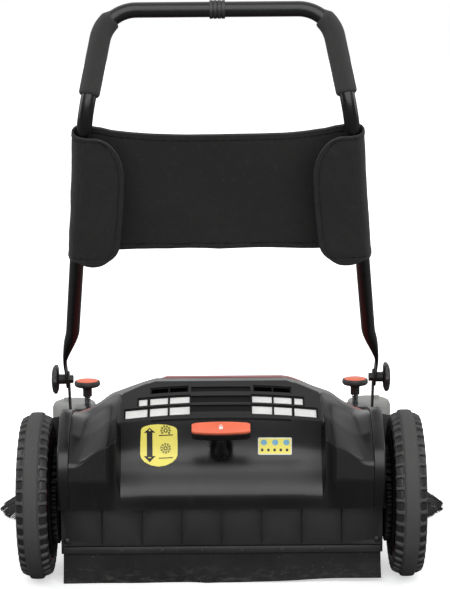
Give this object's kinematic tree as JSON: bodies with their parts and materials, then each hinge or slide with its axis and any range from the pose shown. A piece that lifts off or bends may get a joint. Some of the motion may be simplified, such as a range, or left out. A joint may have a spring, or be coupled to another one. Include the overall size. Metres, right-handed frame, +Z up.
{
  "type": "manual floor sweeper",
  "caption": "Push sweeper with large drive wheels, a main brush, side brushes with height adjusters, a pull-out rear hopper and a folding handle with foam grips and a fabric screen.",
  "frame": {"origin": "on the floor, under the middle of the outline", "axes": "+X to the right of the person pushing, +Y the way it travels, +Z up"},
  "size_m": [0.92, 0.9428, 1.0328],
  "materials": {
    "black_plastic": "satin",
    "matt_black": "matte",
    "black_tube": "satin powder coat",
    "black_bracket": "satin paint",
    "foam": "closed-cell foam",
    "screen_cloth": "woven",
    "tyre_rubber": "matte",
    "skirt_rubber": "matte",
    "red_plastic": "gloss",
    "coral_red": "satin",
    "light_grey": "satin",
    "zinc_steel": "zinc plated",
    "filter_fleece": "fleece",
    "bristles": "nylon bristles"
  },
  "bodies": {
    "chassis": {"left_side_plate": "black_plastic", "right_side_plate": "black_plastic", "front_hood": "red_plastic", "front_cross_member": "black_plastic", "rear_panel": "matt_black", "skirt_clamp": "matt_black", "rear_skirt": "skirt_rubber", "left_panel_screw": "matt_black", "right_panel_screw": "matt_black", "left_stub_axle": "zinc_steel", "right_stub_axle": "zinc_steel", "left_brush_bush": "zinc_steel", "right_brush_bush": "zinc_steel", "left_handle_bracket": "black_bracket", "right_handle_bracket": "black_bracket", "left_adjuster_shelf": "black_plastic", "right_adjuster_shelf": "black_plastic", "left_adjuster_spring": "zinc_steel", "right_adjuster_spring": "zinc_steel"},
    "left_wheel": {"left_tyre": "tyre_rubber", "left_rim": "red_plastic", "left_drive_gear": "matt_black", "left_hub_cap": "matt_black"},
    "right_wheel": {"right_tyre": "tyre_rubber", "right_rim": "red_plastic", "right_drive_gear": "matt_black", "right_hub_cap": "matt_black"},
    "left_pinion_body": {"left_pinion": "zinc_steel"},
    "right_pinion_body": {"right_pinion": "zinc_steel"},
    "main_brush": {"main_brush_core": "matt_black", "main_brush_bristles": "bristles"},
    "left_carrier": {"left_brush_carrier": "black_plastic", "left_brush_dome": "light_grey", "left_adjuster_rod": "zinc_steel"},
    "right_carrier": {"right_brush_carrier": "black_plastic", "right_brush_dome": "light_grey", "right_adjuster_rod": "zinc_steel"},
    "left_adjuster": {"left_adjuster_knob": "matt_black", "left_knob_insert": "coral_red"},
    "right_adjuster": {"right_adjuster_knob": "matt_black", "right_knob_insert": "coral_red"},
    "left_side_brush": {"left_side_brush_hub": "matt_black", "left_side_bristles": "bristles"},
    "right_side_brush": {"right_side_brush_hub": "matt_black", "right_side_bristles": "bristles"},
    "hopper": {"hopper_shell": "black_plastic", "left_filter_fleece": "filter_fleece", "right_filter_fleece": "filter_fleece"},
    "t_handle": {"t_handle_stem": "black_plastic", "t_handle_cap": "coral_red"},
    "handle": {"handle_tube": "black_tube", "left_grip": "foam", "right_grip": "foam", "crossbar_clip": "matt_black", "fabric_screen": "screen_cloth"},
    "left_star": {"left_star_knob": "matt_black"},
    "right_star": {"right_star_knob": "matt_black"}
  },
  "joints": [
    {"name": "left_wheel_spin", "type": "hinge", "parent": "chassis", "child": "left_wheel", "pos_m": [0, -0.16361, 0.15], "axis": [1, 0, 0], "continuous": true},
    {"name": "right_wheel_spin", "type": "hinge", "parent": "chassis", "child": "right_wheel", "pos_m": [0, -0.16361, 0.15], "axis": [1, 0, 0], "continuous": true},
    {"name": "left_pinion_spin", "type": "hinge", "parent": "chassis", "child": "left_pinion_body", "pos_m": [0, -0.06549, 0.11566], "axis": [1, 0, 0], "continuous": true},
    {"name": "right_pinion_spin", "type": "hinge", "parent": "chassis", "child": "right_pinion_body", "pos_m": [0, -0.06549, 0.11566], "axis": [1, 0, 0], "continuous": true},
    {"name": "main_brush_spin", "type": "hinge", "parent": "chassis", "child": "main_brush", "pos_m": [0, -0.06549, 0.11566], "axis": [1, 0, 0], "continuous": true},
    {"name": "left_side_brush_lift", "type": "slide", "parent": "chassis", "child": "left_carrier", "axis": [0, 0, 1], "range_m": [0, 0.008]},
    {"name": "right_side_brush_lift", "type": "slide", "parent": "chassis", "child": "right_carrier", "axis": [0, 0, 1], "range_m": [0, 0.008]},
    {"name": "left_adjuster_turn", "type": "hinge", "parent": "chassis", "child": "left_adjuster", "pos_m": [-0.2645, 0.1864, 0.275], "axis": [0, 0, 1], "range_deg": [0, 720]},
    {"name": "right_adjuster_turn", "type": "hinge", "parent": "chassis", "child": "right_adjuster", "pos_m": [0.2645, 0.1864, 0.275], "axis": [0, 0, 1], "range_deg": [0, 720]},
    {"name": "left_side_brush_spin", "type": "hinge", "parent": "left_carrier", "child": "left_side_brush", "pos_m": [-0.3, 0.31139, 0.052], "axis": [0, 0, 1], "continuous": true},
    {"name": "right_side_brush_spin", "type": "hinge", "parent": "right_carrier", "child": "right_side_brush", "pos_m": [0.3, 0.31139, 0.052], "axis": [0, 0, 1], "continuous": true},
    {"name": "hopper_pull", "type": "slide", "parent": "chassis", "child": "hopper", "axis": [0, -1, 0], "range_m": [0, 0.35]},
    {"name": "t_handle_turn", "type": "hinge", "parent": "hopper", "child": "t_handle", "pos_m": [0, -0.2116, 0.2416], "axis": [0, -0.7071, 0.7071], "range_deg": [0, 90]},
    {"name": "handle_fold", "type": "hinge", "parent": "chassis", "child": "handle", "pos_m": [0, 0.0564, 0.32], "axis": [1, 0, 0], "range_deg": [-110, 15]},
    {"name": "left_star_knob_turn", "type": "hinge", "parent": "chassis", "child": "left_star", "pos_m": [-0.295, 0.0564, 0.32], "axis": [1, 0, 0], "continuous": true},
    {"name": "right_star_knob_turn", "type": "hinge", "parent": "chassis", "child": "right_star", "pos_m": [0.295, 0.0564, 0.32], "axis": [1, 0, 0], "continuous": true}
  ],
  "couplings": [
    {"joint": "left_pinion_spin", "follows": "left_wheel_spin", "ratio": -4},
    {"joint": "right_pinion_spin", "follows": "right_wheel_spin", "ratio": -4},
    {"joint": "main_brush_spin", "follows": "left_wheel_spin", "ratio": -4},
    {"joint": "left_side_brush_spin", "follows": "left_wheel_spin", "ratio": 2},
    {"joint": "right_side_brush_spin", "follows": "right_wheel_spin", "ratio": -2},
    {"joint": "left_adjuster_turn", "follows": "left_side_brush_lift", "rad_per_m": 1570.8},
    {"joint": "right_adjuster_turn", "follows": "right_side_brush_lift", "rad_per_m": 1570.8}
  ]
}
